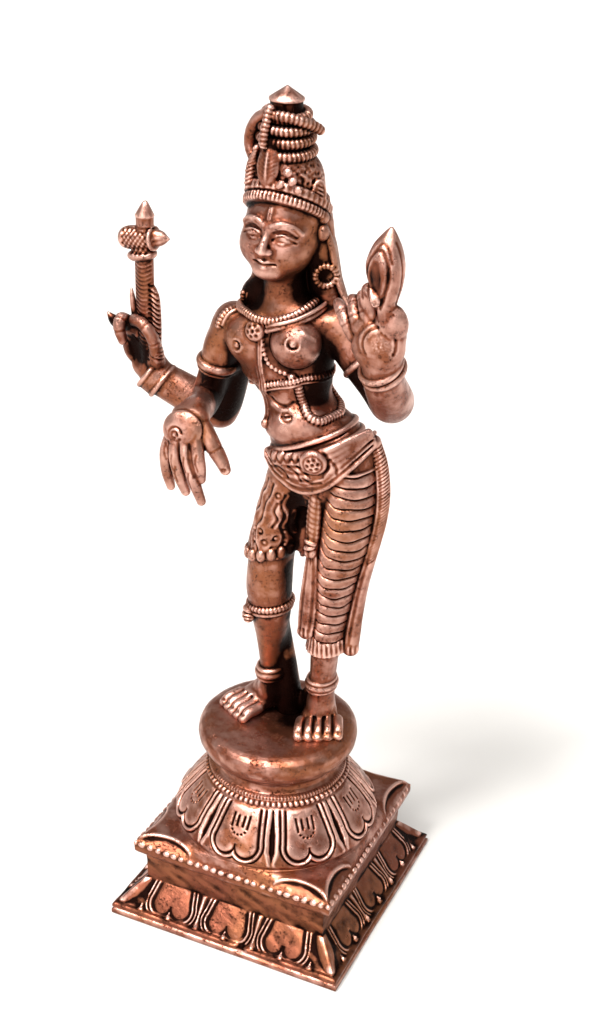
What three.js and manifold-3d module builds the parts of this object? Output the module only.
// A copper-finished cast figure of Ardhanarishvara on a square lotus pedestal.
// Millimetres, +Z up. The figure faces -Y and its right side is at -X.
// The origin is the middle of the pedestal's underside.
import * as THREE from 'three';
import { mergeVertices } from 'three/addons/utils/BufferGeometryUtils.js';
import Module from 'manifold-3d';

const wasm = await Module();
wasm.setup();

// Driving dimensions
const FOOT_HALF = 35; // half the side of the pedestal's square foot
const FOOT_RIM = 3.4; // height of the foot's upright rim
const DADO_HALF = 27; // half the side of the plain block
const DADO_LOW = 10.8;
const DADO_HIGH = 18.8;
const SLAB_HALF = 29.9; // half the side of the beaded slab
const SLAB_EDGE = 23.1; // height of the slab's beaded edge
const BELL_LOW = 26;
const BELL_HIGH = 40.6;
const BELL_RADIUS = 28.8;
const SEAT_TOP = 57.5; // level that the feet stand on
const SEAT_RADIUS = 22.2;
const PETALS_A_SIDE = 3;
const BELL_PETALS = 8;
const PLEATS = 13;
const SKIRT_HEM = 87.5;
const CROWN_TIP = 232.3;

const TAU = 2 * Math.PI;
const vec = (x, y, z) => new THREE.Vector3(x, y, z);
const radians = (degrees) => (degrees * Math.PI) / 180;

// Solids and joins

function toSolid(geometry) {
  const bare = geometry.clone();
  bare.deleteAttribute('normal');
  bare.deleteAttribute('uv');
  const merged = mergeVertices(bare, 1e-4);
  const triVerts = Uint32Array.from(merged.index.array);
  const vertProperties = Float32Array.from(merged.attributes.position.array);
  return new wasm.Manifold(new wasm.Mesh({ numProp: 3, vertProperties, triVerts }));
}

function joined(geometries) {
  return geometries.map(toSolid).reduce((sum, next) => sum.add(next));
}

function toGeometry(solid) {
  const mesh = solid.getMesh();
  const geometry = new THREE.BufferGeometry();
  geometry.setAttribute('position', new THREE.BufferAttribute(mesh.vertProperties, 3));
  geometry.setIndex(new THREE.BufferAttribute(mesh.triVerts, 1));
  geometry.computeVertexNormals();
  return geometry;
}

// A closed skin over rings of equally many points, with a fan over each end.
// The fans are flat, or meet at the two tips where they are given.
function loft(rings, tips = []) {
  const sides = rings[0].length;
  const positions = [];
  const index = [];
  rings.flat().forEach((point) => positions.push(point.x, point.y, point.z));
  for (let ring = 0; ring < rings.length - 1; ring++) {
    for (let side = 0; side < sides; side++) {
      const a = ring * sides + side;
      const b = ring * sides + ((side + 1) % sides);
      index.push(a, b, a + sides, b, b + sides, a + sides);
    }
  }
  const ends = [0, rings.length - 1];
  ends.forEach((end, which) => {
    const flat = rings[end].reduce((sum, point) => sum.add(point), vec(0, 0, 0)).divideScalar(sides);
    const middle = tips[which] ?? flat;
    const hub = positions.length / 3;
    positions.push(middle.x, middle.y, middle.z);
    for (let side = 0; side < sides; side++) {
      const a = end * sides + side;
      const b = end * sides + ((side + 1) % sides);
      if (end === 0) index.push(hub, b, a);
      else index.push(hub, a, b);
    }
  });
  if (signedVolume(positions, index) < 0) index.reverse();
  const geometry = new THREE.BufferGeometry();
  geometry.setAttribute('position', new THREE.Float32BufferAttribute(positions, 3));
  geometry.setIndex(index);
  return geometry;
}

function signedVolume(positions, index) {
  const corner = (i) => vec(positions[3 * i], positions[3 * i + 1], positions[3 * i + 2]);
  let volume = 0;
  for (let i = 0; i < index.length; i += 3) {
    volume += corner(index[i]).dot(corner(index[i + 1]).cross(corner(index[i + 2]))) / 6;
  }
  return volume;
}

// Level sections, each [x, y, z, half width, half depth, rise to the right]
function stack(sections, sides = 18) {
  const rings = sections.map(([x, y, z, wide, deep, rise = 0]) => {
    const ring = [];
    for (let side = 0; side < sides; side++) {
      const angle = (TAU * side) / sides;
      const across = wide * Math.cos(angle);
      ring.push(vec(x + across, y + deep * Math.sin(angle), z + rise * across));
    }
    return ring;
  });
  return loft(rings);
}

// A blunt-ended limb through stops, each [x, y, z, radius] or [x, y, z, radius, second radius]
function limb(stops, sides = 5) {
  const path = new THREE.CatmullRomCurve3(stops.map(([x, y, z]) => vec(x, y, z)), false, 'centripetal');
  const chord = vec(...stops.at(-1).slice(0, 3)).sub(vec(...stops[0].slice(0, 3)));
  const flattest = Math.abs(chord.y) < Math.abs(chord.x) + Math.abs(chord.z) ? vec(0, 1, 0) : vec(1, 0, 0);
  const rings = stops.map((stop, count) => {
    const t = count / (stops.length - 1);
    const second = stop[3];
    const first = stop[4] ?? second;
    const along = path.getTangent(t);
    const one = flattest.clone().addScaledVector(along, -flattest.dot(along)).normalize();
    const two = along.clone().cross(one);
    const centre = path.getPoint(t);
    const ring = [];
    for (let side = 0; side < sides; side++) {
      const angle = (TAU * side) / sides;
      ring.push(centre.clone()
        .addScaledVector(one, first * Math.cos(angle))
        .addScaledVector(two, second * Math.sin(angle)));
    }
    return ring;
  });
  const bluntness = 0.7;
  const startTip = path.getPoint(0).addScaledVector(path.getTangent(0), -bluntness * stops[0][3]);
  const endTip = path.getPoint(1).addScaledVector(path.getTangent(1), bluntness * stops.at(-1)[3]);
  return loft(rings, [startTip, endTip]);
}

function ball(x, y, z, rx, ry, rz, turn = 0, wide = 7, high = 4) {
  const geometry = new THREE.SphereGeometry(1, wide, high);
  geometry.rotateX(Math.PI / 2);
  geometry.scale(rx, ry, rz);
  geometry.rotateZ(radians(turn));
  return geometry.translate(x, y, z);
}

// A raised band or rope round a body: an oval ring of round section
function band([x, y, z], wide, deep, thick, rise = 0, sides = 10) {
  const facets = 3;
  const geometry = new THREE.TorusGeometry(1, 1, facets, sides);
  const place = geometry.attributes.position;
  for (let i = 0; i < place.count; i++) {
    const tube = Math.floor(i / (sides + 1));
    const angle = (TAU * (i % (sides + 1))) / sides;
    const turn = (TAU * tube) / facets;
    const out = thick * Math.cos(turn);
    const across = (wide + out) * Math.cos(angle);
    const height = z + thick * Math.sin(turn) + rise * across;
    place.setXYZ(i, x + across, y + (deep + out) * Math.sin(angle), height);
  }
  return geometry;
}

function lathe(profile, segments) {
  const points = profile.map(([radius, height]) => new THREE.Vector2(radius, height));
  return new THREE.LatheGeometry(points, segments).rotateX(Math.PI / 2);
}

function rod(x, y, low, high, lowRadius, highRadius, sides = 8) {
  return lathe([[0, low], [lowRadius, low], [highRadius, high], [0, high]], sides).translate(x, y, 0);
}

// A disc that faces forwards, turned about the vertical and leaned back
function rosette(x, y, z, radius, thick, turn, lean) {
  const geometry = new THREE.CylinderGeometry(radius * 0.86, radius, thick, 10);
  geometry.rotateX(radians(lean));
  geometry.rotateZ(radians(turn));
  return geometry.translate(x, y, z);
}

// Pedestal

function squareRing(half, height, lift) {
  const perSide = 4;
  const ring = [];
  for (let side = 0; side < 4; side++) {
    for (let step = 0; step < perSide; step++) {
      const along = -1 + (2 * step) / perSide;
      const point = vec(half, half * along, height + lift * along ** 4);
      ring.push(point.applyAxisAngle(vec(0, 0, 1), (side * Math.PI) / 2));
    }
  }
  return ring;
}

function squareBody() {
  const levels = [
    [FOOT_HALF, 0, 0],
    [FOOT_HALF, 1.5, 0],
    [FOOT_HALF - 0.7, 2, 0],
    [FOOT_HALF - 0.4, FOOT_RIM, 0],
    [FOOT_HALF - 1.6, 4, 0],
    [DADO_HALF + 0.6, 10.4, 0],
    [DADO_HALF, DADO_LOW, 0],
    [DADO_HALF, DADO_HIGH, 0],
    [SLAB_HALF - 0.4, SLAB_EDGE - 3.1, 0.3],
    [SLAB_HALF, SLAB_EDGE - 0.5, 0.6],
    [SLAB_HALF - 0.4, SLAB_EDGE + 0.3, 0.8],
    [SLAB_HALF - 4.4, 26.4, 0.4],
  ];
  return loft(levels.map((level) => squareRing(...level)));
}

// A lotus petal seen from its face: two round lobes at the lower edge and a notch between them
function heartShape(width, height) {
  const half = width / 2;
  const shape = new THREE.Shape();
  shape.moveTo(-0.74 * half, height);
  shape.bezierCurveTo(-1.1 * half, 0.6 * height, -1.15 * half, 0.02 * height, -0.5 * half, 0);
  shape.bezierCurveTo(-0.2 * half, 0, -0.1 * half, 0.14 * height, 0, 0.26 * height);
  shape.bezierCurveTo(0.1 * half, 0.14 * height, 0.2 * half, 0, 0.5 * half, 0);
  shape.bezierCurveTo(1.15 * half, 0.02 * height, 1.1 * half, 0.6 * height, 0.74 * half, height);
  return shape;
}

function footPetals() {
  const low = vec(FOOT_HALF - 1.9, 0, 4.4);
  const high = vec(DADO_HALF + 0.7, 0, 10.3);
  const slope = high.clone().sub(low);
  const out = vec(slope.z, 0, -slope.x).normalize();
  const spacing = 17.5;
  const petals = [];
  for (let side = 0; side < 4; side++) {
    for (let count = 0; count < PETALS_A_SIDE; count++) {
      const petal = new THREE.ExtrudeGeometry(heartShape(13.2, slope.length()), {
        depth: 1.7, bevelEnabled: false, curveSegments: 2,
      });
      const along = (count - (PETALS_A_SIDE - 1) / 2) * spacing;
      const frame = new THREE.Matrix4().makeBasis(vec(0, 1, 0), slope.clone().normalize(), out);
      petal.translate(0, 0, -0.7).applyMatrix4(frame).translate(low.x, along, low.z);
      petals.push(petal.rotateZ((side * Math.PI) / 2));
    }
    const corner = ball(0, 0, 0, 5, 2.2, 1.3, 0, 6, 4).rotateY(radians(38));
    petals.push(corner.translate(43, 0, 7).rotateZ(((side + 0.5) * Math.PI) / 2));
  }
  return petals;
}

// The bell under the seat: a swelling profile with hanging petals and a groove between each two
function bell() {
  const sides = BELL_PETALS * 6;
  const levels = 4;
  const rings = [];
  for (let level = 0; level <= levels; level++) {
    const share = level / levels;
    const height = THREE.MathUtils.lerp(BELL_LOW, BELL_HIGH, share);
    const radius = THREE.MathUtils.lerp(19.4, BELL_RADIUS, 1 - share ** 1.25);
    const ring = [];
    for (let side = 0; side < sides; side++) {
      const angle = (TAU * side) / sides - Math.PI / 2;
      const fromPetal = ((side / 6 + 0.5) % 1) - 0.5;
      const lobe = Math.abs(fromPetal) < 0.36 && share > 0.1 && share < 0.95 ? 0.7 : 0;
      ring.push(vec((radius + lobe) * Math.cos(angle), (radius + lobe) * Math.sin(angle), height));
    }
    rings.push(ring);
  }
  return loft(rings);
}

function seat() {
  const profile = [[0, 39.6], [19.3, 39.6], [20.2, 41.2], [20, 43.4], [17.6, 45.6], [17.5, 47.4],
    [21.1, 50.4], [SEAT_RADIUS, 52.6], [SEAT_RADIUS, 54.6], [20.2, SEAT_TOP], [0, SEAT_TOP]];
  return lathe(profile, 20);
}

// Legs, feet and skirt

function bareLeg() {
  return stack([
    [4, 0.6, 137, 7, 9],
    [2, 0.2, 130, 6.6, 8.6],
    [-0.5, -0.5, 121.5, 6.3, 7.8],
    [-2.2, -1, 113, 6.4, 7.4],
    [-2.6, -1.2, 109.6, 6.7, 7.7],
    [-2.8, -1.2, 108.6, 6, 6.5],
    [-3, -1.4, 100, 6.2, 6.4],
    [-2.7, -1, 95.8, 6.1, 6.1],
    [-2.7, -1, 95.3, 6.9, 6.9],
    [-2.6, -0.9, 94, 6.9, 6.9],
    [-2.6, -0.8, 93.5, 6, 6],
    [-2.5, -0.4, 91, 6, 5.8],
    [-1.8, 1.4, 81, 5, 5.2],
    [-3, 2.8, 71.4, 4.2, 4.5],
    [-3.2, 3, 70.4, 5, 5.3],
    [-3.3, 3.1, 68.6, 5, 5.3],
    [-3.8, 3.4, 62, 4.1, 4.6],
  ], 10);
}

function drapedShin() {
  return stack([
    [13.6, 1.6, 92, 3.8, 5],
    [12.4, 2.2, 82, 3.9, 4.9],
    [11.4, 2.7, 71.4, 3.8, 4.5],
    [11.2, 2.8, 70.4, 4.6, 5.3],
    [11.2, 2.8, 68.6, 4.6, 5.3],
    [10.9, 3, 62, 4, 4.6],
  ], 8);
}

// A foot from its heel to the roots of the toes, with five toes
function foot(heel, greatToe, littleToe) {
  const lerp = (a, b, t) => a + (b - a) * t;
  const centreTip = [lerp(greatToe[0], littleToe[0], 0.45), lerp(greatToe[1], littleToe[1], 0.45)];
  const run = vec(centreTip[0] - heel[0], centreTip[1] - heel[1], 0);
  const length = run.length();
  const along = run.normalize();
  const across = vec(-along.y, along.x, 0);
  const sections = [[-0.02, 1.8, 3], [0.08, 3.4, 5.6], [0.3, 3.9, 8], [0.5, 4.5, 6.4], [0.72, 5.3, 3.8]];
  const rings = sections.map(([share, half, high]) => {
    const ring = [];
    for (let side = 0; side <= 5; side++) {
      const angle = Math.PI * (side / 5);
      const point = vec(heel[0], heel[1], SEAT_TOP).addScaledVector(along, share * length);
      point.addScaledVector(across, half * Math.cos(angle));
      point.z += high * Math.sin(angle) ** 0.8;
      ring.push(point);
    }
    return ring;
  });
  const parts = [loft(rings)];
  for (let toe = 0; toe < 5; toe++) {
    const share = toe / 4;
    const radius = toe === 0 ? 1.35 : 1.05;
    const tip = [lerp(greatToe[0], littleToe[0], share), lerp(greatToe[1], littleToe[1], share)];
    const reach = 1.2 * Math.sin(Math.PI * (0.2 + 0.5 * share)) - 0.6;
    const end = vec(tip[0], tip[1], SEAT_TOP + radius * 1.02).addScaledVector(along, reach - radius);
    const root = end.clone().addScaledVector(along, -7.6);
    parts.push(limb([[root.x, root.y, root.z + 1.2, 1.6], [end.x, end.y, end.z, radius]], 4));
  }
  return parts;
}

// The pleated skirt on the left leg: each pleat swells and then steps in, and rises at the inner side
function skirt() {
  const shape = new THREE.CatmullRomCurve3(
    [vec(18.6, 1, 141), vec(19, 1, 132.4), vec(18, 0.7, 119.6), vec(16.3, 0.6, 109.3), vec(15, 0.9, 98.9),
      vec(13.7, 1.4, SKIRT_HEM)],
  );
  const wide = [6.6, 6.6, 6.2, 5.2, 4.6, 4.8];
  const deep = [9.8, 10, 9.2, 8.2, 7.2, 6.6];
  const sides = 8;
  const rings = [];
  const ringAt = (share, swell) => {
    const place = share * (wide.length - 1);
    const low = Math.min(Math.floor(place), wide.length - 2);
    const centre = shape.getPoint(share);
    const halfWide = THREE.MathUtils.lerp(wide[low], wide[low + 1], place - low) + swell;
    const halfDeep = THREE.MathUtils.lerp(deep[low], deep[low + 1], place - low) + swell;
    const ring = [];
    for (let side = 0; side < sides; side++) {
      const angle = (TAU * side) / sides;
      const inner = Math.max(0, -Math.cos(angle)) ** 2;
      const outer = Math.max(0, Math.cos(angle)) ** 2;
      const rise = (2.6 * inner - 2.4 * outer) * Math.min(1, 4 * share) * Math.min(1, 8 * (1 - share));
      const point = vec(halfWide * Math.cos(angle), halfDeep * Math.sin(angle), rise);
      ring.push(point.add(centre));
    }
    rings.push(ring);
  };
  for (let pleat = 0; pleat < PLEATS; pleat++) {
    ringAt(pleat / PLEATS, -0.35);
    ringAt((pleat + 0.72) / PLEATS, 0.25);
  }
  ringAt(1, -0.1);
  return loft(rings);
}

function sashes() {
  const side = [[23.4, 3, 146.5, 1.2, 2.4], [25.4, 3, 137, 1.5, 3], [25.6, 3, 128, 1.6, 3.2],
    [22.9, 3, 115, 1.6, 3], [20.4, 3, 101, 1.6, 2.8], [18.8, 3, 83, 2, 2.4]];
  const middle = [[12.4, -7.6, 136, 2.2, 1.6], [11.4, -7.6, 119, 2, 1.4], [10.2, -6, 104, 1.9, 1.2],
    [8.5, -5, 89.4, 1.5, 1]];
  const knot = ball(11.2, -7.8, 116.5, 2.5, 1.8, 2.2);
  return [limb(side), limb(middle), knot];
}

// Body

function torso() {
  return stack([
    [11.6, 1.4, 131, 10.6, 8.6, 0.05],
    [12.2, 1.2, 135.4, 12.6, 10, 0.1],
    [11.6, 1, 141, 13, 10, 0.16],
    [9.8, 0.4, 144.2, 12.4, 9.6, 0.26],
    [9.6, 0.3, 144.8, 13.2, 10.4, 0.28],
    [9.4, 0.2, 146.2, 13, 10.2, 0.28],
    [9.2, 0.3, 146.9, 12, 9.3, 0.24],
    [7.6, 0.2, 150.2, 11, 8.7, 0.1],
    [5, 0.4, 153.2, 10.2, 8.2, 0],
    [2.2, 0.8, 157.6, 9.4, 7.6, -0.04],
    [0, 1, 162, 10.1, 7.9, 0],
    [-1.4, 1.2, 167, 11.8, 8.8, 0.08],
    [-1.6, 1.5, 171, 14, 8.6, 0.14],
    [-1.2, 2, 175, 14, 7.4, 0.16],
    [-1, 2.2, 178.4, 9.6, 6.4, 0.16],
    [-1.3, 2.2, 181, 6.2, 5.4, 0.08],
    [-1.5, 1.8, 184, 5.2, 5, 0],
    [-1.6, 1.2, 190, 5.2, 5.4, 0],
  ], 13);
}

function chest() {
  return [
    ball(6.2, -5.6, 172.6, 5.8, 5.6, 5.8, 0, 10, 6),
    ball(-8, -3.8, 170.6, 6.6, 4.4, 6, 10),
    ball(5.4, -4.4, 149.6, 8.2, 5.2, 6, 0, 8, 5),
    ball(-15.8, 1.2, 170, 5.2, 5.2, 6),
    ball(14, 4, 175.4, 5.4, 5.2, 6),
  ];
}

function jewellery() {
  return [
    band([-1, -0.4, 178.2], 10.8, 8.8, 1.1, 0.14, 12),
    rosette(-4.4, -7.2, 174.6, 2.2, 3.6, 8, -10),
    rosette(12.6, -10.2, 143.6, 3.2, 2.8, 14, 4),
    ball(23.6, 0.8, 146, 2, 2, 2),
    ball(-6.4, -5.8, 91.8, 1.8, 1.6, 2.4),
  ];
}

// Head and crown, with plain even thirds from hairline to chin

function head() {
  const x = -1.9;
  return [
    ball(x, 0.4, 197.4, 10, 10, 12, 0, 10, 7),
    ball(x, -1.8, 192, 8.2, 7.8, 6.2, 0, 9, 5),
    limb([[x, -9.4, 199.4, 0.8], [x, -11, 195.4, 1], [x, -11.2, 193, 1.4]]),
    ball(x, -8.9, 189.6, 2.8, 1.4, 0.9),
    ball(x - 10.2, 2.6, 196.6, 1.2, 1.8, 3.2),
    ball(x + 10.2, 2.2, 196.6, 1.2, 1.8, 3.2),
  ];
}

function hair() {
  const back = stack([
    [-1.6, 6.2, 207, 8.4, 4],
    [-1.6, 7.2, 198, 9.4, 4.4],
    [-1.4, 7.2, 188, 8.2, 3.6],
    [-1.2, 6.6, 180, 9.4, 3],
    [-1, 6.4, 175, 8, 2.6],
  ], 8);
  const leftLock = limb([[7.8, 5.4, 203, 2], [9.8, 6, 194, 2], [11.4, 5.6, 186, 2], [14, 5.4, 180.4, 1.6]]);
  const rightLock = limb([[-8.4, 5, 184.4, 1.8], [-11.6, 3.6, 180.2, 1.6], [-14.6, 0.8, 176.4, 1.5],
    [-17.2, -3, 172.6, 1.2]]);
  const knob = ball(8.6, 1.2, 202.6, 1.8, 2, 2.2);
  const ring = new THREE.TorusGeometry(2.4, 0.85, 4, 8).rotateX(Math.PI / 2).rotateZ(radians(24));
  return [back, leftLock, rightLock, knob, ring.translate(9.8, 3.4, 187.8)];
}

function crown() {
  const x = -1.6;
  const coils = 4;
  const levels = [[x, 0, 201, 10, 10.2], [x, 0, 201.8, 11.2, 11.4], [x, 0, 203.4, 11.2, 11.4],
    [x, 0, 204, 10.2, 10.4], [x, 0, 204.8, 10.9, 11.1], [x, 0, 206.4, 10.7, 10.9], [x, 0, 207.2, 8.6, 8.8],
    [x, 0, 214, 7.6, 7.8]];
  for (let coil = 0; coil < coils; coil++) {
    const low = 216.6 + 2.7 * coil;
    levels.push([x, 0, low, 5.6, 5.6], [x, 0, low + 1.5, 7, 7]);
  }
  levels.push([x, 0, 227.6, 4, 4], [x, 0, 228, 4.4, 4.4], [x, 0, CROWN_TIP, 0.4, 0.4]);
  return [
    stack(levels, 10),
    limb([[x - 1, -6.4, 219.2, 1, 1.4], [x - 1, -8, 215.4, 1.2, 2.5], [x - 0.8, -9.2, 211.6, 1, 1.8]]),
    limb([[x - 2.4, -4.4, 226.8, 1], [x - 7.6, -3, 221.6, 1.3], [x - 8.6, -2, 216.8, 1.2],
      [x - 6, -4.4, 214.4, 1]]),
    limb([[x, -4.6, 227, 1], [x + 5.6, -3.4, 225, 1.5], [x + 9.4, 0.8, 221.8, 1]]),
    ball(x + 8.8, -0.6, 210.2, 1.4, 2.2, 3.6),
  ];
}

// Arms and what they hold

function frontRightArm() {
  const parts = [
    limb([[-15.6, 1.2, 171, 4.8], [-18.6, 0.8, 165, 4.6], [-19.4, 0.7, 162.2, 4.4], [-19.5, 0.7, 161.6, 5.1],
      [-19.9, 0.6, 160.4, 5], [-20.1, 0.5, 159.8, 4.1], [-20.6, 0.2, 156.6, 4], [-21.6, -1, 151.6, 4],
      [-20.6, -7, 150.4, 3.8], [-18.8, -14.4, 152.2, 3.5]], 8),
    limb([[-19, -15.6, 153, 3.4, 2.6], [-19.4, -19, 149.6, 4.6, 2.2], [-18.4, -20.4, 145.4, 4.9, 1.7]], 8),
    ball(-19.8, -19.6, 150.6, 4.1, 2.4, 4, 10),
  ];
  const fingers = [
    [[-22.4, -20.6, 146, 1.4], [-23, -20.4, 139, 1.3], [-22.2, -19.4, 133.8, 1.1]],
    [[-20.2, -21.2, 145.6, 1.5], [-19.2, -21, 138, 1.4], [-17.4, -19.8, 133, 1.2]],
    [[-17.4, -21.2, 145.6, 1.5], [-15.4, -21, 137, 1.4], [-12.8, -19.6, 131, 1.2]],
    [[-14.6, -20.6, 146.4, 1.5], [-13.6, -20.4, 140.4, 1.4], [-13.4, -19.4, 137, 1.2]],
    [[-14.4, -17.6, 149.6, 2], [-11.6, -18, 145, 1.7], [-8.4, -17.6, 139.4, 1.4]],
  ];
  return [...parts, ...fingers.map((stops) => limb(stops))];
}

function backRightArm() {
  const fingers = [
    [[-44.4, 0.8, 161, 1.9], [-46, 0.2, 165, 1.5], [-45.8, -0.2, 168, 1.3]],
    [[-45, 0.4, 166, 1.3], [-48, 0, 166.6, 1.2], [-51, 0, 167, 0.6]],
    [[-44.4, -0.6, 168, 1.4], [-41.6, -1.6, 166, 1.6], [-38.8, -1, 161.4, 1.7], [-38.4, 0.6, 157, 1.8]],
  ];
  return [
    limb([[-14.4, 4.4, 169.5, 4.8], [-18.6, 6.6, 156, 4.7], [-22.6, 8, 142.4, 4.4], [-29.8, 6.2, 145.8, 4.3],
      [-36.8, 3.8, 150, 4.2]], 8),
    limb([[-38.2, 3.6, 151.6, 4.3, 3.4], [-42, 2.6, 156.4, 4.3, 3], [-43, 2, 161.6, 3.8, 2.6]], 8),
    ...fingers.map((stops) => limb(stops)),
  ];
}

function hatchet() {
  const x = -40.6;
  const y = 1;
  return [
    limb([[-40, y, 157, 2.1, 1.5], [-40.3, y, 170, 2.3, 1.6], [-40.7, y, 185, 2.2, 1.6]], 6),
    limb([[-39.2, y, 177, 0.8], [-38.2, y, 173, 1.4], [-38.2, y, 165, 1.5], [-39, y, 157.5, 1.3]]),
    limb([[-44.6, y, 174.6, 0.5], [-44.2, y, 168, 0.9]]),
    rod(x - 0.4, y, 184.4, 186.6, 3.2, 3.2),
    limb([[-45.6, y, 188.8, 2.9], [-40.2, y, 189.2, 2.9]], 7),
    limb([[-40, y, 190, 2.4], [-37, y, 190.2, 2], [-33.6, y, 190.4, 0.6]], 6),
    rod(x, y, 189, 194.6, 2.2, 2.1),
    rod(x, y, 194.4, 198.4, 1.9, 0.6),
  ];
}

function leftArm() {
  const parts = [
    limb([[13.4, 4, 173.4, 5.8], [18.4, 3, 168.2, 5.6], [24.2, 1.2, 162.8, 5.2], [28.8, -1.4, 159.8, 5.6],
      [30.4, -7.4, 164.4, 5.5], [30.9, -12.8, 170.2, 4.8], [31, -13.2, 170.8, 5.6], [31.2, -14.4, 173, 5.4],
      [31.3, -14.8, 173.6, 4.6], [31.6, -16, 176, 4.6]], 8),
    ball(31.8, -17, 181.4, 5.6, 4.2, 6.8, 0, 10, 6),
    ball(32.4, -19.6, 181.6, 4.3, 2.6, 4.3, 20),
    limb([[29.8, -17.4, 186, 1.9], [28.6, -18, 190, 1.7], [28.6, -17.6, 193, 1.3]]),
    limb([[34.8, -17.4, 186, 2], [35.6, -18.6, 189.4, 1.6], [33.6, -19.6, 190.6, 1.3]]),
  ];
  for (let finger = 0; finger < 3; finger++) {
    const shift = 2.1 * finger;
    parts.push(limb([[25.2 + shift, -17.4, 183.4 + 0.8 * finger, 1.5],
      [22.8 + shift, -14.8, 186.8 + finger, 1.4], [22.2 + shift, -11, 187.4 + finger, 1.2]]));
  }
  return parts;
}

function budFlower() {
  return stack([
    [32.8, -18.6, 188.4, 1.6, 1.6],
    [32.6, -18.4, 191.4, 2.6, 2.4],
    [32.1, -18.2, 196, 4, 3.6],
    [31.8, -18, 200.6, 4.5, 4],
    [32, -17.6, 204.4, 3.6, 3.2],
    [32.3, -17.2, 207.4, 1.7, 1.6],
    [32.4, -17, 208.8, 0.4, 0.4],
  ], 8);
}

// A thin web of metal left by the casting between the bare ankle and the seat
function ankleWeb() {
  return limb([[0.8, 4.6, 84, 1.4, 2.2], [1.4, 5.6, 70, 1.6, 2.8], [1.4, 6, 59, 2, 3.4]]);
}

function figureSolid() {
  const parts = [
    torso(), ...chest(), bareLeg(), drapedShin(), skirt(), ...sashes(), ankleWeb(), ...jewellery(),
    ...foot([-3.6, 9], [-8.2, -9.2], [-16.8, -4.4]),
    ...foot([8.2, 9.4], [10, -10.4], [19.2, -5.4]),
    ...head(), ...hair(), ...crown(),
    ...frontRightArm(), ...backRightArm(), ...hatchet(), ...leftArm(), budFlower(),
  ];
  const below = new THREE.BoxGeometry(120, 120, 20).translate(0, 0, SEAT_TOP - 10);
  return joined(parts).subtract(toSolid(below));
}

function pedestalSolid() {
  return joined([squareBody(), ...footPetals(), bell(), seat()]);
}

function pieceMesh(name, solid, color) {
  const material = new THREE.MeshStandardMaterial({ color, metalness: 0.9, roughness: 0.38 });
  const mesh = new THREE.Mesh(toGeometry(solid), material);
  mesh.name = name;
  return mesh;
}

const figurine = new THREE.Group();
figurine.add(pieceMesh('pedestal', pedestalSolid(), 0x8a4b3c));
figurine.add(pieceMesh('figure', figureSolid(), 0x9a5a48));

export default figurine;
